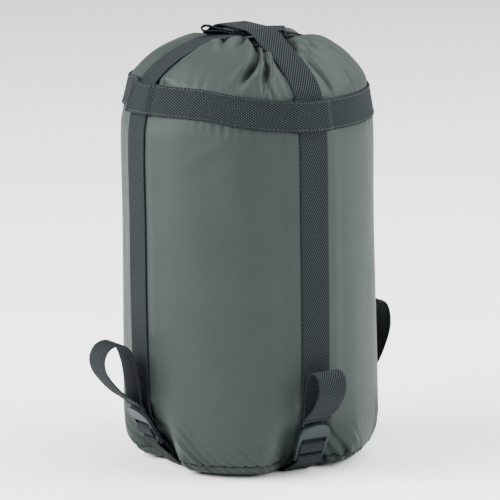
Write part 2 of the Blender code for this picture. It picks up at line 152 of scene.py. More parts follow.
# each main fold of the mouth: points as (bearing from the mouth in degrees, distance), depth, width
MOUTH_FOLDS = [
    ([(-126, 14), (-122, 34), (-120, 58), (-121, 71), (-125, 81), (-129, 88), (-133, 96)], 8.6, 3.9),
    ([(-112, 14), (-114, 36), (-115.5, 60), (-117, 86), (-118, 96)], 7.4, 2.5),
    ([(-115.5, 72), (-115.0, 88), (-112.5, 96)], 2.6, 1.9),
    ([(-104, 40), (-106, 62), (-105, 84), (-103, 96)], 2.8, 2.8),
    ([(-137, 16), (-138, 40), (-140, 62)], 2.6, 3.4),
    ([(-146, 13), (-150, 24), (-154, 37), (-153, 52), (-148, 64)], 6.0, 3.4),
    ([(-70, 18), (-69, 34), (-67, 50), (-70, 66)], 4.2, 2.8),
    ([(-60, 22), (-55, 44), (-52, 60)], 3.2, 2.8),
    ([(-51, 60), (-48.5, 70), (-45, 80)], 3.2, 1.9),
    ([(-36, 20), (-26, 40), (-20, 58)], 2.6, 2.6),
    ([(-82, 60), (-80, 80), (-79, 94)], 2.6, 2.1),
    ([(-60, 78), (-62, 94)], 2.0, 2.0),
]

HOOP_BITE = 1.1  # how far the hoop band presses the fabric in
HOOP_HALF = 12.3
HOOP_RADIUS = 100.0  # about the band's own radius, for its count of rows and its lap
HOOP_CUT_DEG = 173.4
HOOP_LAP_DEG = 21.0
HOOP_END_RISE = 2.6  # how much higher the band's under end lies than its outer end
HOOP_LAP_OUT = 1.75  # how far the lapped end, its cut edge and each strap push the band out
HOOP_CUT_OUT = 1.5
HOOP_STRAP_OUT = 2.7
HOOP_HALF_RISE = 11.3
# the hoop rides up at the left and sits lower at the front and right: (angle, middle height)
HOOP_RUN = [
    (-165.0, 302.6), (-141.0, 301.8), (-118.0, 295.8), (-100.0, 292.6), (-80.0, 291.2),
    (-42.0, 291.0), (0.0, 291.6), (60.0, 295.2), (120.0, 299.6), (172.0, 302.2),
]

GRAB_TURN_DEG = 149.2
GRAB_FOLD = 0.85  # radius of the fold at the loop's hidden end
GRAB_OPEN = [
    (10.0, 348.4), (18.0, 348.4), (23.5, 349.0), (28.5, 350.8), (32.6, 351.4), (35.3, 349.7),
    (34.4, 347.6), (30.0, 346.7), (16.0, 346.7), (0.0, 346.7),
]

STRAP_SPLIT_Z = 66.0  # where a side strap is split from the end that runs into its buckle
PULL_TRAVEL = 80.0  # how far the tail is drawn out

# ---- camera, light, floor ----


def toward(azimuth, elevation):
    """Unit vector from the sack towards an angle in degrees; azimuth 0 is its front."""
    a, e = math.radians(azimuth), math.radians(elevation)
    return Vector((math.sin(a) * math.cos(e), -math.cos(a) * math.cos(e), math.sin(e)))


def new_object(name, data):
    made = bpy.data.objects.new(name, data)
    bpy.context.scene.collection.objects.link(made)
    return made


def make_camera(azimuth, elevation, distance, target, shift_right, frame_width, roll):
    """A long lens at the photograph's angle; frame_width is what it sees at the target, in metres."""
    back = toward(azimuth, elevation)
    right = toward(azimuth + 90.0, 0.0)
    up = back.cross(right)
    turn = Matrix((right, up, back)).transposed() @ Matrix.Rotation(math.radians(-roll), 3, "Z")
    place = turn.to_4x4()
    place.translation = Vector(target) + right * shift_right + back * distance
    data = bpy.data.cameras.new("camera")
    data.sensor_width = 36
    data.lens = data.sensor_width * distance / frame_width
    camera = new_object("camera", data)
    camera.matrix_world = place
    bpy.context.scene.camera = camera


def area_light(name, azimuth, elevation, distance, size, power):
    """A rectangular softbox that faces the sack's middle."""
    back = toward(azimuth, elevation)
    data = bpy.data.lights.new(name, "AREA")
    data.shape = "RECTANGLE"
    data.size, data.size_y = size
    data.energy = power
    light = new_object(name, data)
    light.location = Vector((0.0, 0.0, 0.17)) + back * distance
    light.rotation_mode = "QUATERNION"
    light.rotation_quaternion = (-back).to_track_quat("-Z", "Y")


def make_stage():
    """A white surround and a pale floor just under the sack."""
    world = bpy.data.worlds.new("studio")
    world.use_nodes = True
    light = world.node_tree.nodes["Background"].inputs
    light["Color"].default_value = (1.0, 1.0, 1.0, 1.0)
    light["Strength"].default_value = 0.68
    bpy.context.scene.world = world
    pale = Graph("floor_pale", 0.9, specular=0.5)
    pale.colour((0.9, 0.9, 0.9, 1.0))
    bpy.ops.mesh.primitive_circle_add(vertices=64, radius=14.0, fill_type="NGON")
    floor = bpy.context.object
    floor.name = "floor"
    floor.location.z = -0.0004
    floor.data.materials.append(pale.material)


# ---- materials ----


class Graph:
    """Short calls for building a node material."""

    def __init__(self, name, roughness, specular, sheen=0.0):
        self.material = bpy.data.materials.new(name)
        self.material.use_nodes = True
        self.tree = self.material.node_tree
        self.shader = self.tree.nodes["Principled BSDF"]
        self.set(self.shader, Roughness=roughness, Specular_IOR_Level=specular, Sheen_Weight=sheen)

    def node(self, kind, **settings):
        made = self.tree.nodes.new(kind)
        for key, value in settings.items():
            setattr(made, key, value)
        return made

    def put(self, value, socket):
        if isinstance(value, bpy.types.NodeSocket):
            self.tree.links.new(value, socket)
        else:
            socket.default_value = value

    def set(self, node, **inputs):
        for name, value in inputs.items():
            self.put(value, node.inputs[name.replace("_", " ")])

    def math(self, operation, *values):
        made = self.node("ShaderNodeMath", operation=operation)
        for value, socket in zip(values, made.inputs):
            self.put(value, socket)
        return made.outputs[0]

    def uv(self):
        """The strip's own coordinates, (across, along), in millimetres."""
        made = self.node("ShaderNodeUVMap", uv_map="lie")
        parts = self.node("ShaderNodeSeparateXYZ")
        self.put(made.outputs["UV"], parts.inputs[0])
        return made.outputs["UV"], parts.outputs["X"], parts.outputs["Y"]

    def place(self):
        return self.node("ShaderNodeTexCoord").outputs["Object"]

    def noise(self, vector, scale, detail=3.0, roughness=0.55):
        made = self.node("ShaderNodeTexNoise")
        self.set(made, Vector=vector, Scale=scale, Detail=detail, Roughness=roughness)
        return made.outputs["Fac"]

    def ramp(self, value, *stops):
        made = self.node("ShaderNodeValToRGB")
        ramp = made.color_ramp
        while len(ramp.elements) < len(stops):
            ramp.elements.new(0.5)
        for element, (position, colour) in zip(ramp.elements, stops):
            element.position = position
            element.color = (*colour, 1.0)
        self.put(value, made.inputs[0])
        return made.outputs[0]

    def mix(self, share, first, second):
        made = self.node("ShaderNodeMix", data_type="RGBA")
        self.put(share, made.inputs[0])
        for value, socket in ((first, made.inputs[6]), (second, made.inputs[7])):
            self.put((*value, 1.0) if isinstance(value, tuple) else value, socket)
        return made.outputs[2]

    def between(self, value, low, high):
        """A 0..1 value moved to low..high."""
        made = self.node("ShaderNodeMapRange")
        self.set(made, Value=value, To_Min=low, To_Max=high)
        return made.outputs[0]

    def bump(self, *layers):
        """Each layer is (height, distance in metres, strength)."""
        below = {}
        for height, distance, strength in layers:
            made = self.node("ShaderNodeBump")
            self.set(made, Strength=strength, Distance=distance, Height=height, **below)
            below = {"Normal": made.outputs["Normal"]}
        self.set(self.shader, **below)

    def colour(self, value):
        self.set(self.shader, Base_Color=value)

    def rough(self, value):
        self.set(self.shader, Roughness=value)


def weave_height(g, across, along, pitch):
    """Plain weave: warp and weft threads passing over each other."""
    a = g.math("SINE", g.math("MULTIPLY", across, math.pi / pitch))
    b = g.math("SINE", g.math("MULTIPLY", along, math.pi / pitch))
    return g.math("MULTIPLY", g.math("ABSOLUTE", a), g.math("ABSOLUTE", b))


def nylon_material():
    g = Graph("nylon_taffeta", 0.52, specular=0.17)
    uv, across, along = g.uv()
    threads = weave_height(g, across, along, 0.62)
    rib_a = g.math("SINE", g.math("MULTIPLY", across, TAU / 3.4))
    rib_b = g.math("SINE", g.math("MULTIPLY", along, TAU / 3.4))
    warp = g.math("MULTIPLY", g.math("POWER", g.math("ABSOLUTE", rib_a), 8.0), 0.3)
    grid = g.math("MAXIMUM", warp, g.math("POWER", g.math("ABSOLUTE", rib_b), 6.0))
    blotch = g.noise(g.place(), 24.0, 3.0)
    streak = g.node("ShaderNodeMapping")
    g.set(streak, Vector=uv, Scale=(1.1, 0.03, 1.0))
    slub = g.noise(streak.outputs[0], 1.6, 2.0)
    base = g.ramp(blotch, (0.25, (0.0152, 0.0208, 0.0188)), (0.75, (0.0182, 0.0244, 0.0222)))
    base = g.mix(g.between(slub, 0.0, 0.16), base, (0.028, 0.036, 0.033))
    base = g.mix(g.between(threads, 0.0, 0.22), base, (0.0105, 0.0145, 0.0132))
    base = g.mix(g.between(grid, 0.0, 0.3), base, (0.026, 0.0345, 0.0315))
    g.colour(base)
    g.rough(g.between(g.noise(g.place(), 60.0, 4.0), 0.45, 0.6))
    g.set(g.shader, Specular_Tint=(0.82, 1.0, 0.95, 1.0))
    g.bump((g.noise(g.place(), 210.0, 4.0), 0.0004, 0.2), (threads, 0.00012, 0.4),
           (grid, 0.00006, 0.35))
    return g.material


def webbing_material():
    g = Graph("webbing_twill", 0.88, specular=0.1)
    uv, across, along = g.uv()
    slant = g.math("ADD", across, g.math("MULTIPLY", along, 0.62))
    wave = g.math("MULTIPLY_ADD", g.math("SINE", g.math("MULTIPLY", slant, TAU / 2.1)), 0.5, 0.5)
    stitch = g.math("MULTIPLY_ADD", g.math("SINE", g.math("MULTIPLY", along, TAU / 1.4)), 0.3, 0.7)
    twill = g.math("MULTIPLY", wave, stitch)
    fuzz = g.noise(uv, 3.2, 4.0, 0.7)
    patch = g.noise(g.place(), 30.0, 2.0)
    base = g.ramp(twill, (0.05, (0.0016, 0.0023, 0.0027)), (0.42, (0.0064, 0.0085, 0.0095)),
                  (0.9, (0.04, 0.05, 0.0545)))
    base = g.mix(g.ramp(fuzz, (0.62, (0.0, 0.0, 0.0)), (0.8, (0.55, 0.55, 0.55))), base,
                 (0.06, 0.07, 0.075))
    base = g.mix(g.between(patch, 0.0, 0.2), base, (0.0045, 0.0066, 0.0078))
    g.colour(base)
    g.bump((g.noise(g.place(), 260.0, 3.0), 0.0003, 0.25), (twill, 0.00034, 0.85),
           (fuzz, 0.00015, 0.4))
    return g.material


def plastic_material():
    g = Graph("moulded_acetal", 0.46, specular=0.16)
    place = g.place()
    mottled = g.noise(place, 90.0, 4.0)
    scuff = g.noise(place, 420.0, 5.0, 0.7)
    edge = g.node("ShaderNodeNewGeometry").outputs["Pointiness"]
    worn = g.ramp(edge, (0.52, (0.0, 0.0, 0.0)), (0.62, (1.0, 1.0, 1.0)))
    base = g.ramp(mottled, (0.3, (0.0085, 0.0135, 0.0155)), (0.7, (0.0115, 0.0175, 0.0195)))
    base = g.mix(g.math("MULTIPLY", g.between(scuff, 0.0, 0.5), worn), base, (0.035, 0.043, 0.05))
    g.colour(base)
    g.rough(g.between(scuff, 0.4, 0.54))
    g.bump((mottled, 0.0002, 0.12), (scuff, 0.00005, 0.25))
    return g.material


def thread_material(name, dark, light):
    g = Graph(name, 0.6, specular=0.3, sheen=0.03)
    twist = g.noise(g.place(), 900.0, 2.0)
    g.colour(g.ramp(twist, (0.3, dark), (0.7, light)))
    g.bump((twist, 0.0001, 0.5))
    return g.material


def cord_material():
    g = Graph("braided_cord", 0.7, specular=0.3, sheen=0.03)
    uv, around, along = g.uv()
    left = g.math("SINE", g.math("MULTIPLY", g.math("ADD", around, along), TAU / 1.2))
    right = g.math("SINE", g.math("MULTIPLY", g.math("SUBTRACT", around, along), TAU / 1.2))
    braid = g.between(g.math("MAXIMUM", left, right), 0.0, 1.0)
    g.colour(g.ramp(braid, (0.2, (0.003, 0.0035, 0.004)), (0.9, (0.014, 0.016, 0.017))))
    g.bump((g.noise(uv, 4.0, 3.0), 0.0002, 0.2), (braid, 0.0003, 0.7))
    return g.material


def fill_material():
    g = Graph("packed_quilt", 0.9, specular=0.2, sheen=0.3)
    soft = g.noise(g.place(), 40.0, 4.0)
    g.colour(g.ramp(soft, (0.3, (0.02, 0.022, 0.021)), (0.7, (0.04, 0.043, 0.041))))
    g.bump((soft, 0.002, 0.6))
    return g.material


# ---- curves ----


def smooth(value):
    value = np.clip(value, 0.0, 1.0)
    return value * value * (3 - 2 * value)


def catmull(points, steps):
    """A smooth curve through the points, as `steps` pieces between each two."""
    points = [np.array(p, float) for p in points]
    padded = [points[0] * 2 - points[1], *points, points[-1] * 2 - points[-2]]
    curve = []
    for before, start, end, after in zip(padded, padded[1:], padded[2:], padded[3:]):
        for k in range(steps):
            t = k / steps
            square = (2 * before - 5 * start + 4 * end - after) * t**2
            cube = (3 * start - before - 3 * end + after) * t**3
            curve.append(0.5 * (2 * start + (end - before) * t + square + cube))
    curve.append(points[-1])
    return np.array(curve)


def lengths(line, closed=False):
    """Distance along a line at each point, and back at the start of a closed one."""
    if closed:
        line = np.vstack([line, line[:1]])
    return np.concatenate([[0.0], np.cumsum(np.linalg.norm(np.diff(line, axis=0), axis=1))])


def spaced(line, step):
    """The same line with its points about `step` apart."""
    along = lengths(line)
    at = np.linspace(0.0, along[-1], max(2, int(round(along[-1] / step)) + 1))
    return np.stack([np.interp(at, along, line[:, k]) for k in range(line.shape[1])], axis=1)


def polar(degrees, distance):
    a = math.radians(degrees)
    return np.array((math.cos(a), math.sin(a))) * distance


def arc(centre, radius, start_deg, end_deg, steps):
    a = np.radians(np.linspace(start_deg, end_deg, steps + 1))
    return np.stack([centre[0] + radius * np.cos(a), centre[1] + radius * np.sin(a)], axis=1)


def tangents(line):
    t = np.gradient(line, axis=0)
    return t / np.maximum(np.linalg.norm(t, axis=1, keepdims=True), 1e-9)


def turned(points, degrees):
    """Points of a strap's own frame (out, across, up) in the row frame."""
    a = math.radians(degrees)
    turn = np.array([[math.cos(a), -math.sin(a), 0], [math.sin(a), math.cos(a), 0], [0, 0, 1]])
    return np.asarray(points) @ turn.T


def wander(count, seed, waves):
    """A smooth curve of about -1..1 over `count` rows, the same each run."""
    rng = np.random.default_rng(seed)
    t = np.linspace(0.0, 1.0, count)
    total = np.zeros(count)
    for k in range(1, waves + 1):
        total += np.sin(TAU * (k + rng.random()) * t * 0.5 + TAU * rng.random())
    return total / waves


# ---- mesh builders ----


def add_mesh(name, points, faces, material, uv=None, smooth_angle=40.0):
    """uv is one (across, along) pair in millimetres per face corner."""
    mesh = bpy.data.meshes.new(name)
    mesh.from_pydata([tuple(p) for p in np.asarray(points) * MM], [], faces)
    if uv is not None:
        layer = mesh.uv_layers.new(name="lie")
        layer.data.foreach_set("uv", np.asarray(uv, np.float32).ravel())
    mesh.materials.append(material)
    mesh.validate()
    mesh.shade_smooth()
    mesh.set_sharp_from_angle(angle=math.radians(smooth_angle))
    return new_object(name, mesh)


def quads(rows, count, closed=False):
    """Faces between rows of points that each close on themselves; closed also joins the last row
    to the first."""
    faces = []
    for k in range(rows if closed else rows - 1):
        low, high = k * count, (k + 1) % rows * count
        for j in range(count):
            beside = (j + 1) % count
            faces.append((low + j, low + beside, high + beside, high + j))
    return faces


def quad_uv(u, v):
    """The quads' corner uv, from the distances round a row and along the rows."""
    return [
        corner
        for low, high in zip(v, v[1:])
        for left, right in zip(u, u[1:])
        for corner in ((left, low), (right, low), (right, high), (left, high))
    ]


def end_faces(rows, count):
    """The faces that close the first and the last row of a sweep."""
    last = (rows - 1) * count
    return [tuple(range(count - 1, -1, -1)), tuple(range(last, last + count))]


def band_section():
    """A webbing's cross-section: (share of its half width, height), edges rounded."""
    t = WEB_THICK / 2
    upper = [(-1.0, 0.0), (-0.99, 0.5), (-0.965, 0.84), (-0.91, 0.98), (-0.5, 1.0), (0.0, 1.0),
             (0.5, 1.0), (0.91, 0.98), (0.965, 0.84), (0.99, 0.5)]
    return [(a, b * t) for a, b in upper] + [(-a, -b * t) for a, b in upper]


def band(name, centre, across, normal, half, closed=False, weave=None):
    """A strap of webbing swept along its middle line, with the woven edge's small scallops.

    weave turns the distance along it to the distance that its weave covers there.
    """
    section = band_section()
    rows, count = len(centre), len(section)
    half = np.broadcast_to(half, rows).astype(float)
    wave = SCALLOP * np.cos(np.arange(rows) * math.pi)
    points = []
    for a, b in section:
        reach = (half + wave if abs(a) > 0.95 else half) * a
        points.append(centre + across * reach[:, None] + normal * b)
    points = np.stack(points, axis=1).reshape(-1, 3)
    along = lengths(centre, closed)
    if weave:
        along = weave(along)
    flat = lengths(np.array(section) * (WEB_WIDTH / 2, 1.0), closed=True)
    faces, uv = quads(rows, count, closed), quad_uv(flat, along)
    if not closed:
        for face in end_faces(rows, count):
            faces.append(face)
            for k, j in (divmod(corner, count) for corner in face):
                uv.append((section[j][0] * half[k], along[k] + section[j][1]))
    return add_mesh(name, points, faces, WEBBING, uv)


def upright(pairs, y=0.0):
    """(out, up) pairs as points of a strap's own frame (out, across, up)."""
    return np.column_stack([pairs[:, 0], np.broadcast_to(y, len(pairs)), pairs[:, 1]])


def strap(name, path, turn, width=WEB_WIDTH, step=0.9, sway=0.0, seed=0, **more):
    """A band along a path in a strap's own (out, up) plane; width is a number or a function of up."""
    line = spaced(np.asarray(path, float), step)
    t = tangents(line)
    middle = upright(line, sway * wander(len(line), seed, 3))
    normal = upright(np.column_stack([-t[:, 1], t[:, 0]]))
    side = upright(np.zeros_like(line), 1.0)
    half = (width(line[:, 1]) if callable(width) else width) / 2
    return band(name, turned(middle, turn), turned(side, turn), turned(normal, turn), half, **more)


def tube(name, line, radius, material, sides=12, closed=False):
    """A round tube along a 3-D line, or along a closed one."""
    line = np.asarray(line, float)
    count = len(line)
    t = (np.roll(line, -1, axis=0) - np.roll(line, 1, axis=0)) if closed else np.gradient(line, axis=0)
    t /= np.linalg.norm(t, axis=1, keepdims=True)
    start = np.cross(t[0], [0.0, 0.0, 1.0])
    if np.linalg.norm(start) < 0.1:
        start = np.cross(t[0], [1.0, 0.0, 0.0])
    ref, refs = start / np.linalg.norm(start), []
    for k in range(count):
        ref = ref - t[k] * ref.dot(t[k])
        ref = ref / np.linalg.norm(ref)
        refs.append(ref)
    refs = np.array(refs)
    if closed:
        last = refs[-1] - t[0] * refs[-1].dot(t[0])
        last /= np.linalg.norm(last)
        slip = math.atan2(np.cross(refs[0], last).dot(t[0]), refs[0].dot(last))
        undo = -slip * np.arange(count) / count
        refs = refs * np.cos(undo)[:, None] + np.cross(t, refs) * np.sin(undo)[:, None]
    other = np.cross(t, refs)
    radius = np.broadcast_to(radius, count)
    a = np.linspace(0.0, TAU, sides, endpoint=False)
    ring = refs[:, None] * np.cos(a)[None, :, None] + other[:, None] * np.sin(a)[None, :, None]
    points = (line[:, None] + ring * radius[:, None, None]).reshape(-1, 3)
    around = np.arange(sides + 1) * (TAU * float(np.mean(radius)) / sides)
    faces, uv = quads(count, sides, closed), quad_uv(around, lengths(line, closed))
    if not closed:
        faces += end_faces(count, sides)
        uv += [(0.0, 0.0)] * (2 * sides)
    return add_mesh(name, points, faces, material, uv)


def stitches(name, places, material, length=2.5, radius=0.27, sides=6):
    """A row of thread stitches; each place is (middle, direction, outward), the thread sinking in
    at both ends."""
    points, faces = [], []
    shares = [-0.5, -0.36, 0.0, 0.36, 0.5]
    rise = [-0.55, 0.35, 0.62, 0.35, -0.55]
    pattern = quads(len(shares), sides) + end_faces(len(shares), sides)
    for middle, along, out in places:
        middle, along, out = (np.asarray(v, float) for v in (middle, along, out))
        aside = np.cross(along, out)
        first = len(points)
        for share, lift in zip(shares, rise):
            centre = middle + along * share * length + out * lift * radius
            for j in range(sides):
                a = TAU * j / sides
                points.append(centre + (aside * math.cos(a) + out * math.sin(a)) * radius)
        faces += [tuple(first + corner for corner in face) for face in pattern]
    return add_mesh(name, points, faces, material)


# ---- fabric skins ----


def strap_gap(angle):
    """Angle from the nearest strap, in radians."""
    quarter = math.pi / 2
    return np.abs((angle + quarter / 2) % quarter - quarter / 2)


def strap_share(angle):
    """1 under a strap, 0 where the fabric is full."""
    span = math.radians(STRAP_FADE_DEG - STRAP_FLAT_DEG)
    return 1.0 - smooth((strap_gap(angle) - math.radians(STRAP_FLAT_DEG)) / span)


def skin_rows(shape, spacing):
    """A skin's full and strapped profiles sampled at the same stations.

    spacing is the step along the full profile, and the length at its start with FINE_STEP instead.
    """
    step, fine = spacing
    a, b = (catmull(profile, 24) for profile in shape)
    along = lengths(a)
    at = np.linspace(fine, along[-1], int(round((along[-1] - fine) / step)) + 1)
    if fine:
        at = np.concatenate([np.arange(0.0, fine, FINE_STEP), at])
    full, strapped = (
        np.stack([np.interp(at, along, line[:, k]) for k in (0, 1)], axis=1) for line in (a, b)
    )
    return full, strapped, at


def skin_grid(shape, spacing, columns=COLUMNS):
    """(rows, columns) grids of the undecorated skin: angle, station and points."""
    a, b, at = skin_rows(shape, spacing)
    angle = np.linspace(-math.pi, math.pi, columns, endpoint=False)
    share = strap_share(angle)[None, :]
    radius = a[:, :1] + (b[:, :1] - a[:, :1]) * share
    height = a[:, 1:] + (b[:, 1:] - a[:, 1:]) * share
    shift = np.where(height > PANEL_SPLIT_Z, np.maximum(0.0, 1 - (radius / MOUTH_REACH) ** 2), 0.0)
    x = radius * np.cos(angle)[None, :] + MOUTH_OFFSET[0] * shift
    y = radius * np.sin(angle)[None, :] + MOUTH_OFFSET[1] * shift
    return np.broadcast_to(angle[None, :], radius.shape), at, np.stack([x, y, height], axis=2)


def strap_meet(shape, spacing, strap_line, angle):
    """How far the fabric under a strap lies out to touch its flat inner face."""
    row = skin_rows(shape, spacing)[1]
    line = spaced(catmull(strap_line, 12), 0.2)
    away = np.array([np.min(np.hypot(*(line - spot).T)) for spot in row])
    lift = np.clip(away - WEB_THICK / 2 - STRAP_CLEARANCE, 0.0, 3.2)
    flat = np.minimum(strap_gap(angle), STRAP_HALF_ANGLE)
    return lift[:, None] + row[:, :1] * (1.0 / np.cos(flat) - 1.0)


def grid_normals(points):
    """Outward normals of a skin grid that closes on itself sideways."""
    sideways = np.roll(points, -1, axis=1) - np.roll(points, 1, axis=1)
    upward = np.gradient(points, axis=0)
    normal = np.cross(sideways, upward)
    return normal / np.maximum(np.linalg.norm(normal, axis=2, keepdims=True), 1e-9)


def ripple(angle, height, waves, lean, seed):
    """Random vertical puckers of roughly -1..1: waves is the range of how many fit round."""
    rng = np.random.default_rng(seed)
    total = np.zeros_like(angle)
    for _ in range(9):
        k = int(rng.integers(*waves))
        total += rng.uniform(0.4, 1.0) * np.cos(k * (angle + lean * height) + TAU * rng.random())
    return total / 3.0


def patchy(angle, height, seed):
    """A slow 0..1 variation round and up the sack."""
    rng = np.random.default_rng(seed)
    total = np.zeros_like(angle)
    for _ in range(5):
        k, m = int(rng.integers(2, 7)), rng.uniform(0.01, 0.03)
        total += np.cos(k * angle + m * height + TAU * rng.random())
    return smooth(0.5 + total / 5.0)


def nearest(offset, line):
    """Distance of each point from a line, and the share of the line where it is nearest."""
    off = np.full(offset.shape[:2], 1e9)
    share = np.zeros(offset.shape[:2])
    for k in range(len(line) - 1):
        start, d = line[k], line[k + 1] - line[k]
        t = np.clip(((offset - start) @ d) / d.dot(d), 0.0, 1.0)
        away = np.linalg.norm(offset - start - t[:, :, None] * d, axis=2)
        near = away < off
        off = np.where(near, away, off)
        share = np.where(near, (k + t) / (len(line) - 1), share)
    return off, share


def crease(flat, start, end, width, depth):
    """A soft ridge (depth above 0) or fold (below 0) along a line in the flat cloth."""
    off, share = nearest(flat, np.array((start, end)))
    fade = np.sin(np.pi * np.clip(0.08 + 0.84 * share, 0.0, 1.0))
    return depth * fade * np.exp(-((off / width) ** 2))


def furrow(side, sharpness, lip, lip_at, lip_narrow):
    """A fold's profile across itself: -1 at its line, with a raised lip beside it."""
    groove = np.maximum(0.0, 1 - side) ** sharpness
    return lip * np.exp(-((side - lip_at) ** 2) * lip_narrow) - groove


def hoop_puckers(angle, z, away, seed):
    """Short puckers where the hoop band presses the fabric; away is the distance from the band."""
    puckers = ripple(angle, z, (40, 92), 0.0, seed) * patchy(angle, z, seed + 1)
    return puckers * np.exp(-np.maximum(away - 1.0, 0.0) / 5.5)


def skin_mesh(name, points, stations, material):
    rows, columns = points.shape[:2]
    uv = quad_uv(np.arange(columns + 1) * (TAU * CIRCLE / columns), stations)
    return add_mesh(name, points.reshape(-1, 3), quads(rows, columns), material, uv, 180.0)


def cloth_thickness(skin):
    solid = skin.modifiers.new("cloth", "SOLIDIFY")
    solid.thickness = CLOTH_THICK * MM
    solid.offset = -1.0


def foot_gathers(angle, z):
    """Deep gathers of uneven height above the hem's seam, and fine ones at the seam itself."""
    deep = ripple(angle, z, (26, 74), 0.0085, SEED + 4)
    deep *= 0.15 + 1.2 * patchy(angle * 2.3, z, SEED + 5)
    deep = np.where(deep < 0, -1.6 * np.abs(deep) ** 1.5, 0.7 * deep)
    spread = 6.0 + 17.0 * patchy(angle * 3.1, z * 0.0, SEED + 7)
    deep *= 1.8 * np.exp(-np.maximum(z - HEM_SEAM_Z, 0.0) / spread) * smooth((z - 3.0) / 5.0)
    fine = ripple(angle, z, (80, 140), 0.004, SEED + 6)
    return deep + 0.8 * fine * np.exp(-np.abs(z - HEM_SEAM_Z) / 4.0)


def side_panel():
    """The wall: full between the straps, flat under them, gathered at the foot and the hoop."""
    angle, station, points = skin_grid(SIDE_SHAPE, SIDE_ROWS)
    z = points[:, :, 2]
    off = strap_gap(angle) * CIRCLE
    free = smooth((off - 13.5) / 7.0)
    swell = 1.1 * np.exp(-(((off - 19.0) / 6.0) ** 2)) * smooth((z - 40.0) / 40.0)
    swell *= smooth((286.0 - z) / 14.0)
    broad = 0.5 * ripple(angle, z, (3, 9), 0.0, SEED)
    broad += 0.35 * ripple(angle, z, (8, 16), 0.0012, SEED + 1)
    broad *= smooth((z - 10.0) / 30.0) * smooth((292.0 - z) / 20.0)
    hoop_low = hoop_edges(angle)[0]
    puckers = 0.5 * hoop_puckers(angle, z, hoop_low - z, SEED + 2)
    flat = np.stack([angle * CIRCLE, z], axis=2)
    folds = sum(crease(flat, *line) for line in SIDE_CREASES)
    seam = -1.9 * np.exp(-(((z - HEM_SEAM_Z) / 1.2) ** 2))
    meet = strap_meet(SIDE_SHAPE, SIDE_ROWS, SIDE_STRAP, angle) * smooth((z - 52.0) / 14.0)
    push = free * (swell + broad + puckers + foot_gathers(angle, z) + folds)
    push += seam * (0.4 + 0.6 * free) + (1.0 - free) * meet
    push *= smooth((hoop_low + 1.0 - z) / 4.0)
    push -= HOOP_BITE * smooth((z - hoop_low) / 4.0)
    points = points + grid_normals(points) * push[:, :, None]
    skin = skin_mesh("side_panel_skin", points, station, NYLON)
    cloth_thickness(skin)
    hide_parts("side_panel")
    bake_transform(skin)
    hem_seam(points)


def hem_seam(points):
    """The line of stitches round the foot of the side panel, sunk in its groove."""
    row = int(np.argmin(np.abs(np.mean(points[:60, :, 2], axis=1) - HEM_SEAM_Z)))
    line, normal = points[row], grid_normals(points)[row]
    line = np.vstack([line, line[:1]])
    along = lengths(line)
    t = tangents(line)
    places = []
    for at in np.arange(1.5, along[-1] - 1.5, 2.9):
        k = int(np.searchsorted(along, at)) % COLUMNS
        places.append((line[k], t[k], normal[k]))
    row_of_thread = stitches("hem_stitches", places, SEALED_AND_PAINTED_SHADE, radius=0.36)
    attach(row_of_thread, "root")


def neck_folds(reach, bearing):
    """The gathers all round the closed mouth, uneven in place, length and depth."""
    rng = np.random.default_rng(SEED + 20)
    push = np.zeros_like(reach)
    for k in range(NECK_FOLDS):
        centre = -math.pi + TAU * (k + rng.uniform(-0.32, 0.32)) / NECK_FOLDS
        bend, limit = rng.uniform(-0.004, 0.004), rng.uniform(30.0, 66.0)
        depth, width = rng.uniform(0.7, 1.9), rng.uniform(1.9, 3.4)
        turn = (bearing - centre - bend * reach + math.pi) % TAU - math.pi
        side = np.abs(turn) * reach / (width * (0.45 + reach / 60.0))
        fade = smooth((limit - reach) / 22.0) * smooth((reach - 7.0) / 5.0)
        push += depth * fade * furrow(side, 1.4, 0.35, 1.5, 2.0)
    return push


def main_folds(offset):
    """The deep folds of MOUTH_FOLDS; offset is each point's place from the mouth."""
    push = np.zeros(offset.shape[:2])
    for path, depth, width in MOUTH_FOLDS:
        line = catmull([polar(bearing, distance) for bearing, distance in path], 10)
        off, share = nearest(offset, line)
        fade = smooth(share / 0.12 + 0.35) * smooth((1.0 - share) / 0.45)
        push += depth * fade * furrow(off / width, 1.5, 0.38, 1.55, 1.8)
    return push


def puffs(angle, radius, reach):
    """The bulges between the straps, and the larger one in front of the left strap."""
    across = strap_gap(angle) * radius
    puff = 3.6 * smooth((across - 12.5) / 11.0) * np.exp(-(((reach - 46.0) / 27.0) ** 2))
    before = (angle + math.pi) * radius
    beside = smooth((before - 13.4) / 3.0) * np.exp(-((np.maximum(before - 18.0, 0.0) / 12.0) ** 2))
    return puff + 4.6 * beside * smooth((reach - 18.0) / 16.0) * smooth((112.0 - reach) / 16.0)


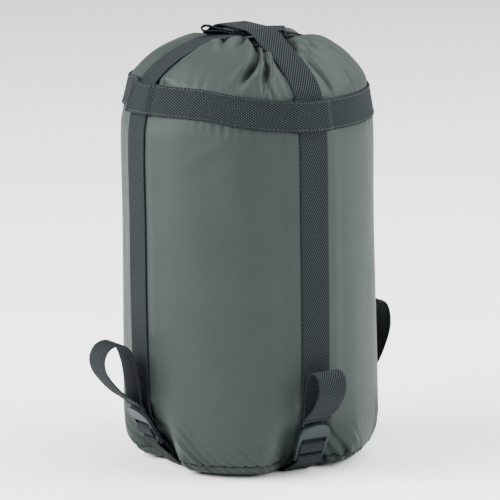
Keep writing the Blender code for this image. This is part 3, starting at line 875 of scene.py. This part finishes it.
def mouth_panel():
    """The dome: gathered to the closed mouth, and held flat under the two crossing straps."""
    angle, station, points = skin_grid(DOME_SHAPE, DOME_ROWS)
    z = points[:, :, 2]
    offset = points[:, :, :2] - MOUTH_OFFSET
    reach = np.linalg.norm(offset, axis=2)
    bearing = np.arctan2(offset[:, :, 1], offset[:, :, 0])
    radius = np.linalg.norm(points[:, :, :2], axis=2)
    across = strap_gap(angle) * radius
    free = np.maximum(smooth((across - 13.0) / 8.0), smooth((46.0 - reach) / 16.0))
    broad = 0.7 * ripple(angle, z, (3, 9), 0.0, SEED + 21) * smooth((z - 306.0) / 10.0)
    hoop_top = hoop_edges(angle)[1]
    puckers = 0.55 * hoop_puckers(angle, z, z - hoop_top, SEED + 22)
    neck = 0.8 * np.cos(19 * bearing) * smooth((16.0 - reach) / 5.0)
    meet = np.where(
        np.abs(np.cos(angle)) > np.abs(np.sin(angle)),
        strap_meet(DOME_SHAPE, DOME_ROWS, LEFT_RIGHT_HALF, angle),
        strap_meet(DOME_SHAPE, DOME_ROWS, FRONT_BACK_HALF, angle),
    )
    meet *= smooth((radius - 46.0) / 14.0) * (1.0 - free)
    folds = neck_folds(reach, bearing) + main_folds(offset)
    push = free * (folds + puffs(angle, radius, reach) + broad + puckers) + meet + neck
    push *= smooth((z - hoop_top + 1.0) / 4.0)
    push -= HOOP_BITE * smooth((hoop_top - z) / 4.0)
    points = points + grid_normals(points) * push[:, :, None]
    skin = skin_mesh("mouth_panel_skin", points, station, NYLON)
    cloth_thickness(skin)
    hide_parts("mouth_panel")
    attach(skin, "cage")


def base_panel():
    """The round bottom: taut over the straps that cross it, sagging to the floor between them."""
    angle = np.linspace(-math.pi, math.pi, COLUMNS, endpoint=False)
    share = strap_share(angle)
    rim = BASE_RIM_FULL + (BASE_RIM_STRAPPED - BASE_RIM_FULL) * share
    rings = 26
    points = np.zeros((rings, COLUMNS, 3))
    for k in range(rings):
        t = 0.004 + 0.996 * k / (rings - 1)
        x, y = rim * t * np.cos(angle), rim * t * np.sin(angle)
        off = np.minimum(np.abs(x), np.abs(y))
        sag = 2.3 * smooth((off - 14.0) / 12.0) * smooth((1.0 - t) / 0.12)
        pucker = 0.5 * ripple(angle, t * 80.0, (30, 60), 0.0, SEED + 30) * smooth((t - 0.8) / 0.2)
        points[k] = np.stack([x, y, BASE_Z - sag + pucker * smooth((1.0 - t) / 0.05)], axis=1)
    skin = skin_mesh("base_panel_skin", points[::-1], np.linspace(0.0, 86.0, rings), NYLON)
    bm = bmesh.new()
    bm.from_mesh(skin.data)
    centre_edges = [e for e in bm.edges if e.is_boundary and e.verts[0].co.length < 0.01]
    bmesh.ops.contextual_create(bm, geom=centre_edges)
    bm.to_mesh(skin.data)
    bm.free()
    cloth_thickness(skin)
    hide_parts("base_panel")
    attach(skin, "root")


def packed_fill():
    """What is packed inside, lumpy and a little smaller than the skins."""
    columns = 120
    angle, _, low = skin_grid(SIDE_SHAPE, (6.0, 0.0), columns)
    high_angle, _, high = skin_grid([profile[:10] for profile in DOME_SHAPE], (5.0, 0.0), columns)
    points = np.vstack([low[1:-1], high[1:]])
    angles = np.vstack([angle[1:-1], high_angle[1:]])
    lumps = 0.5 * ripple(angles, points[:, :, 2], (5, 14), 0.02, SEED + 40)
    inset = 5.0 + 5.0 * smooth((points[:, :, 2] - 304.0) / 14.0)
    points = points - grid_normals(points) * (inset + lumps)[:, :, None]
    points[:, :, 2] = np.maximum(points[:, :, 2], 6.4)
    fill = skin_mesh("packed_fill", points, np.arange(len(points)) * 5.0, FILL)
    bm = bmesh.new()
    bm.from_mesh(fill.data)
    bmesh.ops.holes_fill(bm, edges=[e for e in bm.edges if e.is_boundary])
    bmesh.ops.triangulate(bm, faces=[f for f in bm.faces if len(f.verts) > 4])
    bmesh.ops.recalc_face_normals(bm, faces=bm.faces)
    bm.to_mesh(fill.data)
    bm.free()
    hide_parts("packed_contents")
    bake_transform(fill)


# ---- webbing ----


def wall_radius(z):
    """The full skin's radius at a height round the hoop band."""
    wall = [p for p in SIDE_FULL if p[1] > 240.0] + DOME_FULL[1:4]
    line = catmull(wall, 12)
    return np.interp(z, line[:, 1], line[:, 0])


def hoop_edges(angle):
    """Heights of the hoop band's lower and upper edge at an angle."""
    turns = [(a + turn, z) for turn in (-360.0, 0.0, 360.0) for a, z in HOOP_RUN]
    line = catmull(turns, 12)
    middle = np.interp(np.degrees((angle + math.pi) % TAU - math.pi), line[:, 0], line[:, 1])
    return middle - HOOP_HALF_RISE, middle + HOOP_HALF_RISE


def hoop_band():
    """The band that crosses over every strap, its cut end lapped just behind the left strap."""
    lap = math.radians(HOOP_LAP_DEG)
    gone = np.linspace(0.0, TAU + lap, int(round((TAU + lap) * HOOP_RADIUS / 0.9)))
    angle = math.radians(HOOP_CUT_DEG) + gone
    rise = HOOP_END_RISE * smooth((gone - TAU + 0.5) / 0.4) * smooth((TAU + 0.07 - gone) / 0.09)
    out = HOOP_LAP_OUT * (1.0 - smooth((gone - lap * 0.85) / (lap * 0.9)))
    out += HOOP_CUT_OUT * (1.0 - smooth(gone / 0.05))
    out += HOOP_STRAP_OUT * (1.0 - smooth((np.degrees(strap_gap(angle)) - 7.4) / 4.0))
    edges = []
    for height in hoop_edges(angle):
        z = height + rise
        r = wall_radius(z) + 1.0 + out
        edges.append(np.stack([r * np.cos(angle), r * np.sin(angle), z], axis=1))
    across = edges[1] - edges[0]
    across /= np.linalg.norm(across, axis=1, keepdims=True)
    middle = (edges[0] + edges[1]) / 2
    t = tangents(middle)
    normal = np.cross(t, across)
    normal /= np.linalg.norm(normal, axis=1, keepdims=True)
    hoop = band("hoop_webbing", middle, across, normal, HOOP_HALF)
    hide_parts("hoop_band")
    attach(hoop, "cage")
    reach = HOOP_HALF + 0.05
    # the bead along the band's cut end: a real heat-sealed edge, coloured near-black so that it also
    # paints the shadow line along the cut end
    sealed_and_shadow_line = middle[0] + across[0] * np.linspace(-reach, reach, 26)[:, None] - t[0] * 0.1
    sealed_and_shadow_line += normal[0] * 0.2 * wander(26, SEED + 80, 4)[:, None]
    edge = tube("hoop_sealed_edge_and_painted_shadow", sealed_and_shadow_line, 0.8 + 0.12 * wander(26, SEED + 81, 5), SEALED_AND_PAINTED_SHADE, sides=8)
    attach(edge, "cage")
    along = lengths(middle)
    for name, share in (("hoop_stitches_low", -0.86), ("hoop_stitches_high", 0.86)):
        places = []
        for at in np.arange(3.0, along[-1] - lap * HOOP_RADIUS - 3.0, 3.3):
            k = int(np.searchsorted(along, at))
            spot = middle[k] + across[k] * HOOP_HALF * share + normal[k] * (WEB_THICK / 2)
            places.append((spot, t[k], normal[k]))
        row = stitches(name, places, THREAD)
        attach(row, "cage")


def top_straps():
    for name, node, half, turn, seed in (
        ("top_webbing_front_back", "top_strap_front_back", FRONT_BACK_HALF, -90.0, 3),
        ("top_webbing_left_right", "top_strap_left_right", LEFT_RIGHT_HALF, 0.0, 4),
    ):
        mirrored = [(-x, z) for x, z in reversed(half[1:])]
        made = strap(name, catmull(mirrored + half, 12), turn, sway=0.5, seed=seed)
        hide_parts(node)
        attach(made, "cage")


def grab_loop():
    """A short length of webbing folded flat and caught between the crossing straps."""
    fold = arc((GRAB_FOLD - 31.0, 347.55), GRAB_FOLD, 270, 90, 10)
    path = np.vstack([catmull(GRAB_OPEN, 10), fold])
    ring = spaced(np.vstack([path, path[:1]]), 0.9)[:-1]
    t = np.roll(ring, -1, axis=0) - np.roll(ring, 1, axis=0)
    t /= np.linalg.norm(t, axis=1, keepdims=True)
    roll = np.radians(11.0) * smooth((ring[:, 0] - 9.0) / 14.0)
    side = np.column_stack([np.zeros(len(ring)), np.cos(roll), np.sin(roll)])
    faces = (turned(part, GRAB_TURN_DEG) for part in (upright(ring), side, np.cross(upright(t), side)))
    made = band("grab_loop_webbing", *faces, 12.4, closed=True)
    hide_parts("grab_loop")
    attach(made, "cage")


class PlateFrame:
    """Turns a buckle's (s up the plate, n out of its face) to the strap frame's (out, up)."""

    def __init__(self, end):
        tilt = math.radians(end["tilt"])
        self.turn = end["turn"]
        self.bar = np.array(end["bar"])
        self.along = np.array((math.sin(tilt), math.cos(tilt)))
        self.out = np.array((math.cos(tilt), -math.sin(tilt)))

    def to_strap(self, s, n):
        return self.bar + self.along * s + self.out * n

    def to_row(self, s, n, y=0.0):
        """A point of the plate in the row frame, in millimetres."""
        out, up = self.to_strap(s, n)
        return turned([out, y, up], self.turn)

    def line(self, pairs):
        """A path given as (n, s) pairs, in the strap frame."""
        return np.array([self.to_strap(s, n) for n, s in pairs])


def width_change(low, high, below, above):
    """Width as a function of height: `below` up to `low`, and `above` from `high` on."""
    return lambda up: below + (above - below) * smooth((up - low) / (high - low))


def side_strap(side, plate):
    """The load strap in two pieces: the run down the side, and the end that runs into the buckle."""
    near = [(25.0, -4.9), (17.0, -4.75), (14.6, -4.45), (12.6, -3.6), (11.2, -2.8)]
    points = SIDE_STRAP + [tuple(plate.to_strap(s, n)) for s, n in near]
    points.append(tuple(plate.to_strap(MIDDLE_BAR[0] + 2.3, REAR_LAYER)))
    path = catmull(points, 12)
    split = int(np.argmax(path[:, 1] < STRAP_SPLIT_Z))
    run = strap("side_webbing_" + side, path[: split + 1], plate.turn)
    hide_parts("side_strap_" + side)
    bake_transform(run)
    end = strap("strap_end_" + side, path[split:], plate.turn,
                width=width_change(30.0, 55.0, WEB_IN_BUCKLE, WEB_WIDTH))
    start = plate.to_row(46.0, -4.0) * MM
    stop = plate.to_row(15.0, -4.0) * MM
    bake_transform(end)


def threaded_webbing(side, plate):
    """The webbing's turn round the middle bar, up through one slot and down through the other."""
    corner = 0.8
    radius = corner + THREAD_OFF
    low, high = MIDDLE_BAR[0] + corner, MIDDLE_BAR[1] - corner
    edge = PLATE_THICK / 2 - corner
    path = [(low + 1.2, REAR_LAYER)]
    for spot, start, stop in (
        ((low, -edge), 270, 180), ((low, edge), 180, 90), ((high, edge), 90, 0),
        ((high + 2 * radius, -edge), 180, 270),
    ):
        path += list(arc(spot, radius, start, stop, 8))
    path.append((23.0, REAR_LAYER))
    line = plate.line([(n, s) for s, n in path])
    made = strap("webbing_in_buckle_" + side, line, plate.turn, width=WEB_IN_BUCKLE, step=0.7)
    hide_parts("threaded_webbing_" + side)
    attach(made, "buckle_" + side)


def drawn_out(along):
    """The stretch behind the buckle's tab holds the weave of the webbing that will be drawn out."""
    return along + PULL_TRAVEL * smooth((along - 0.3) / 11.4)


def pull_loop(side, plate, end):
    """The free tail behind the buckle's tab, and the open loop that is pulled."""
    root = plate.to_strap(*LOOP_ROOT)
    out, up = end["loop"]
    tail = [(REAR_LAYER, 23.3), (REAR_LAYER, 29.0), (-2.7, 35.0), (-2.9, 39.0)]
    loop = [root + np.array((u * out, v * up)) for u, v in LOOP_SHAPE]
    flap = list(plate.line([(-0.75, 38.8), (-0.85, 35.6)]))
    path = catmull(list(plate.line(tail)) + loop + flap, 12)
    widens = plate.bar[1] + 26.0
    made = strap("pull_webbing_" + side, path, plate.turn, weave=drawn_out,
                 width=width_change(widens, widens + 10.0, WEB_IN_BUCKLE, WEB_WIDTH))
    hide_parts("pull_loop_" + side)
    tuple(plate.to_row(23.6, -2.6) * MM)
    tuple(plate.to_row(35.0, -2.6) * MM)
    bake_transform(made)
    loop_stitches(side, plate, catmull(loop[-3:] + flap, 30))


def loop_stitches(side, plate, surface):
    """Two rows of stitches where the loop's end is sewn down; surface is its middle line there."""
    along = turned([0.0, 1.0, 0.0], plate.turn)
    up_plate, off_plate = (surface - plate.bar) @ plate.along, (surface - plate.bar) @ plate.out
    places = []
    for row in (40.6, 42.4):
        away = np.abs(up_plate - row)
        outer = np.where(away < 0.6)[0]
        k = outer[np.argmax(off_plate[outer])] if len(outer) else int(np.argmin(away))
        slope = surface[min(k + 1, len(surface) - 1)] - surface[max(k - 1, 0)]
        slope /= np.linalg.norm(slope)
        face = np.array((-slope[1], slope[0]))
        if face.dot(plate.out) < 0:
            face = -face
        at = surface[k] + face * (WEB_THICK / 2)
        outward = turned([face[0], 0.0, face[1]], plate.turn)
        for number in range(8):
            spot = turned([at[0], -10.5 + 3.0 * number, at[1]], plate.turn)
            places.append((spot, along, outward))
    sewn = stitches("loop_stitches_" + side, places, THREAD, length=2.6, radius=0.26)
    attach(sewn, "tail_" + side)


def frayed_end(side, plate, seed):
    """Loose threads at the pull loop's cut end, above the lifting tab."""
    rng = np.random.default_rng(seed)
    made = []
    for k in range(9):
        if k > 4:
            y = rng.uniform(-12.0, 12.0)
        else:
            y = (12.0 if k % 2 else -12.0) + rng.uniform(-0.4, 0.4)
        n = -0.9 + rng.uniform(-0.4, 0.4)
        lean, drop = rng.uniform(-0.25, 0.25), rng.uniform(1.5, 4.2)
        line = []
        for t in np.linspace(0.0, 1.0, 7):
            aside = lean * 6 * t * t + math.copysign(1.5, y) * t
            line.append(plate.to_row(35.8 - drop * t, n + 1.1 * t * t, y + aside))
        made.append(tube(f"fray_{side}_{k}", line, 0.14, THREAD, sides=5))
    bm = bmesh.new()
    for obj in made:
        bm.from_mesh(obj.data)
    mesh = bpy.data.meshes.new("frayed_end_" + side)
    bm.to_mesh(mesh)
    bm.free()
    for obj in made:
        bpy.data.objects.remove(obj, do_unlink=True)
    mesh.materials.append(THREAD)
    fray = new_object("frayed_end_" + side, mesh)
    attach(fray, "tail_" + side)


def anchor_path(end):
    """From the sack's bottom corner round the buckle's anchor bar and back to the sewn end."""
    bar = np.array(end["bar"])
    corner = np.array((BASE_CORNER, BASE_RUN_Z + 0.3))
    along = (bar - corner) / np.linalg.norm(bar - corner)
    below = np.array((along[1], -along[0]))
    facing = math.degrees(math.atan2(below[1], below[0]))
    wrap = arc(bar, ANCHOR_WRAP, facing, facing + 180, 24)
    stitched = corner + (bar - corner) * 0.42 - below * 1.8
    return [corner, corner + along * 3.0 + below * 0.4, *wrap, stitched]


def base_straps():
    """The straps that cross under the sack, each held by a buckle at both ends."""
    for name, first, second, turn, middle_z in (
        ("front_back", "front", "back", -90.0, BASE_RUN_Z),
        ("left_right", "right", "left", 0.0, BASE_OVER_Z),
    ):
        near = anchor_path(ENDS[first])
        far = [np.array((-p[0], p[1])) for p in anchor_path(ENDS[second])]
        half = [(16.0, middle_z), (26.0, BASE_RUN_Z), (62.0, BASE_RUN_Z)]
        middle = [(-x, z) for x, z in reversed(half)] + [(0.0, middle_z)] + half
        made = strap("base_webbing_" + name, np.array(far[::-1] + middle + near), turn,
                     width=width_change(2.0, 10.0, WEB_WIDTH, WEB_IN_BUCKLE))
        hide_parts("base_strap_" + name)
        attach(made, "root")


# ---- drawcord ----


def drawcord():
    """The cord round the gathered neck, and the knot that closes it."""
    knot_deg, gap_deg = 150.0, 42.0
    ring = arc((0, 0), CORD_RING, knot_deg + gap_deg / 2, knot_deg + 360 - gap_deg / 2, 60)
    line = np.column_stack([ring + MOUTH_OFFSET, np.full(len(ring), CORD_Z)])
    line[:, 2] += 0.25 * np.sin(np.linspace(0.0, 5 * TAU, len(line)))
    cord = tube("drawcord_braid", line, CORD_RADIUS, CORD, sides=14)
    t = np.linspace(0.0, TAU, 90, endpoint=False)
    trefoil = np.stack(
        [np.sin(t) + 2 * np.sin(2 * t), np.cos(t) - 2 * np.cos(2 * t), -np.sin(3 * t)], axis=1
    )
    knot_line = trefoil * (0.72, 0.72, 0.75) + (*(MOUTH_OFFSET + polar(knot_deg, 12.8)), CORD_Z)
    knot = tube("drawcord_knot_turns", knot_line, 0.95, CORD, sides=10, closed=True)
    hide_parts("drawcord")
    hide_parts("drawcord_knot")
    for piece in (cord, knot):
        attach(piece, "cage")


make_camera(-30.8, 11.3, 4.0, (0.0, 0.0, 0.168), 0.0011, 0.4032258, 0.74)
make_stage()
area_light("left_softbox", -106.0, 32.0, 2.4, (2.0, 1.5), 236.0)
area_light("right_softbox", 38.0, 24.0, 2.4, (2.0, 1.5), 118.0)
area_light("top_softbox", 80.0, 60.0, 2.2, (2.4, 2.4), 106.0)

NYLON = nylon_material()
WEBBING = webbing_material()
PLASTIC = plastic_material()
THREAD = thread_material("sewing_thread", (0.004, 0.005, 0.0055), (0.012, 0.0135, 0.0145))
# near-black, darker than the webbing and the thread: the hoop's heat-sealed cut edge, its dark colour
# partly a real sealed edge and partly a painted shadow line along the cut end; also used for the hem
# stitches
SEALED_AND_PAINTED_SHADE = thread_material("heat_sealed_webbing_and_painted_shade", (0.0012, 0.0015, 0.0018), (0.004, 0.0048, 0.0055))
CORD = cord_material()
FILL = fill_material()

side_panel()
mouth_panel()
base_panel()
packed_fill()
hoop_band()
top_straps()
grab_loop()
for number, (side_name, settings) in enumerate(ENDS.items()):
    plate_frame = PlateFrame(settings)
    side_strap(side_name, plate_frame)
    threaded_webbing(side_name, plate_frame)
    pull_loop(side_name, plate_frame, settings)
    frayed_end(side_name, plate_frame, SEED + 70 + number)
    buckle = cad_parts["buckle_" + side_name]
    buckle.data.materials.clear()
    buckle.data.materials.append(PLASTIC)
base_straps()
drawcord()
